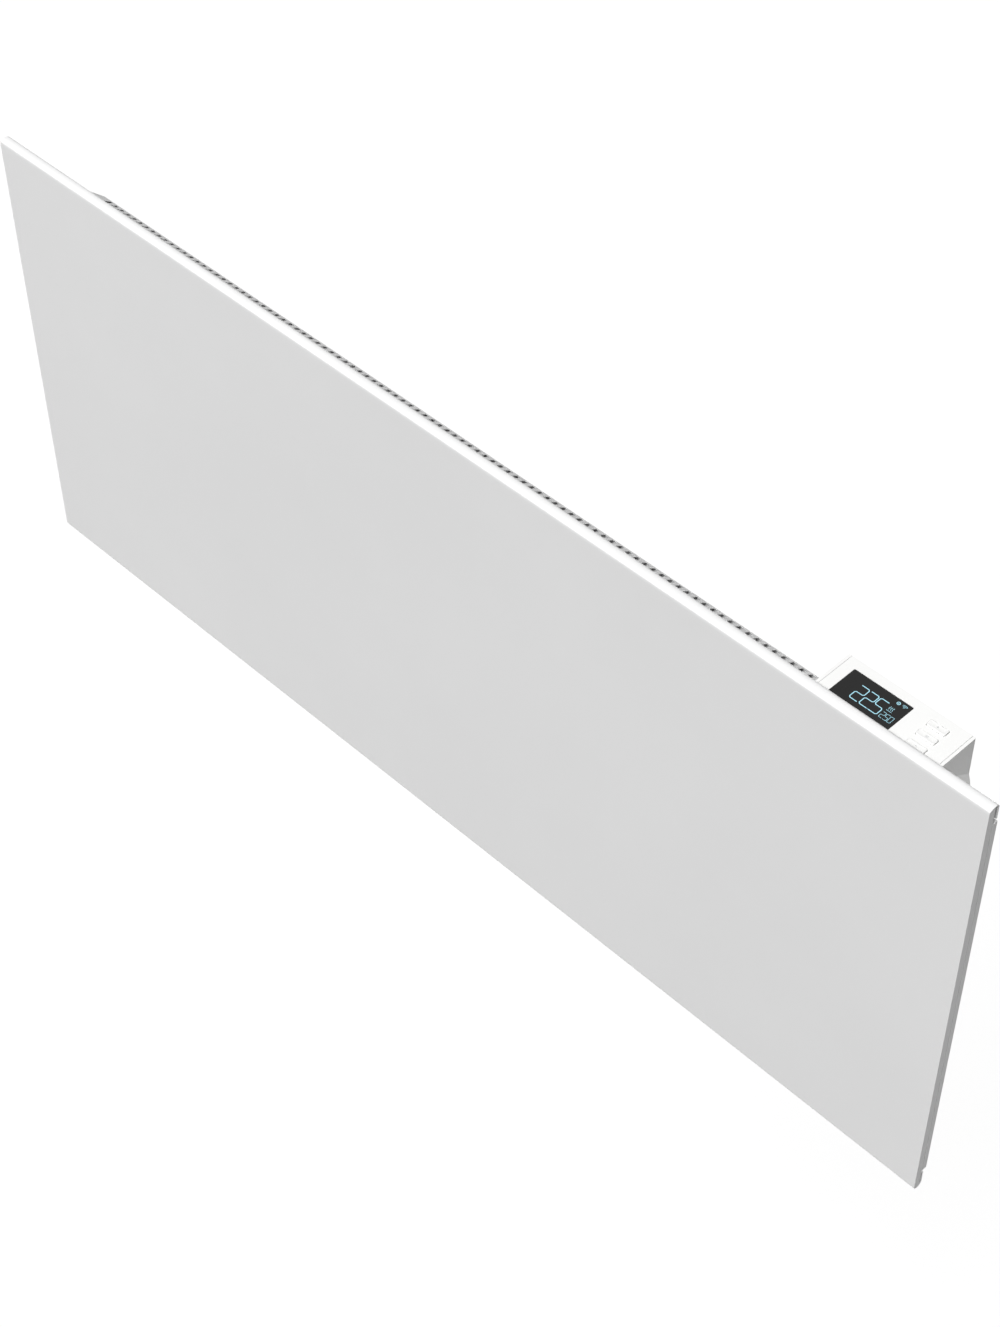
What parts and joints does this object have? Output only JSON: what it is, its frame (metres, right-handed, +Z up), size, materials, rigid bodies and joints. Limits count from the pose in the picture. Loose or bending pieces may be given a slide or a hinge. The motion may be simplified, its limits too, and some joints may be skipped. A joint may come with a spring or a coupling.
{
  "type": "wall panel convector heater",
  "caption": "Wide flat wall heater: a thin rolled-edge steel panel before a slotted convector casing, with an end control head, top display and keys, and a hook-on wall bracket.",
  "frame": {"origin": "middle of the four wall screw holes, on the wall plane behind the bracket", "axes": "+X along the panel towards the control head, +Y from the room into the wall, +Z up; the face looks along -Y"},
  "size_m": [0.872, 0.055, 0.3697],
  "materials": {
    "panel_paint": "satin white powder coat",
    "casing_paint": "satin white powder coat",
    "zinc_sheet": "zinc-plated sheet",
    "aluminium_rivet": "plain",
    "white_plastic": "fine matt grain",
    "zinc_screw": "zinc-plated",
    "dark_glass": "dark tinted window",
    "black_plastic": "matt",
    "circuit_board": "green solder mask",
    "core_steel": "varnished laminations",
    "can_aluminium": "plain",
    "grey_plastic": "matt",
    "finned_aluminium": "plain mill finish",
    "ceramic": "glazed ceramic",
    "bright_sheet": "bright aluminised sheet",
    "black_rubber": "matt",
    "brown_silicone": "sleeved lead",
    "blue_silicone": "sleeved lead",
    "grey_silicone": "sleeved lead"
  },
  "bodies": {
    "bracket": {"wall_bracket": "zinc_sheet"},
    "heater": {"front_panel": "panel_paint", "panel_rails": "zinc_sheet", "panel_liner": "casing_paint", "rear_wall": "casing_paint", "left_end": "casing_paint", "right_end": "casing_paint", "top_grille": "casing_paint", "bottom_grille": "casing_paint", "casing_rivets": "aluminium_rivet", "control_housing": "white_plastic", "housing_screws": "zinc_screw", "control_lid": "white_plastic", "display_glass": "dark_glass", "display_module": "black_plastic", "display_holder": "black_plastic", "control_board": "circuit_board", "board_screws": "zinc_screw", "tact_switches": "black_plastic", "power_board": "circuit_board", "power_screws": "zinc_screw", "relay": "black_plastic", "transformer": "core_steel", "capacitors": "can_aluminium", "terminal_block": "grey_plastic", "ribbon_cable": "grey_plastic", "ribbon_plugs": "black_plastic", "rocker_frame": "black_plastic", "cable_gland": "grey_plastic", "gland_nut": "grey_plastic", "sensor_cap": "white_plastic", "room_sensor": "black_plastic", "heating_element": "finned_aluminium", "element_pins": "zinc_screw", "element_collars": "ceramic", "element_stands": "zinc_sheet", "heat_shield": "bright_sheet", "front_shield": "bright_sheet", "thermal_cutout": "black_plastic", "lead_grommet": "black_rubber", "lead_live": "brown_silicone", "lead_neutral": "blue_silicone", "lead_cutout": "grey_silicone", "hanger_left": "zinc_sheet", "hanger_right": "zinc_sheet", "hanger_rivets": "aluminium_rivet", "wall_spacers": "black_rubber"},
    "plus_key": {"button_plus": "white_plastic"},
    "menu_key": {"button_menu": "white_plastic"},
    "minus_key": {"button_minus": "white_plastic"},
    "rocker_key": {"rocker": "black_plastic"}
  },
  "joints": [
    {"name": "heater_lift", "type": "slide", "parent": "bracket", "child": "heater", "axis": [0, 0, 1], "range_m": [0, 0.016]},
    {"name": "plus_press", "type": "slide", "parent": "heater", "child": "plus_key", "axis": [0, 0, -1], "range_m": [0, 0.0005], "stiffness_N_per_m": 1500, "springref_m": -0.0002},
    {"name": "menu_press", "type": "slide", "parent": "heater", "child": "menu_key", "axis": [0, 0, -1], "range_m": [0, 0.0005], "stiffness_N_per_m": 1500, "springref_m": -0.0002},
    {"name": "minus_press", "type": "slide", "parent": "heater", "child": "minus_key", "axis": [0, 0, -1], "range_m": [0, 0.0005], "stiffness_N_per_m": 1500, "springref_m": -0.0002},
    {"name": "rocker_tilt", "type": "hinge", "parent": "heater", "child": "rocker_key", "pos_m": [0.4, -0.029, -0.06006], "axis": [0, 1, 0], "range_deg": [-20, 0]}
  ]
}
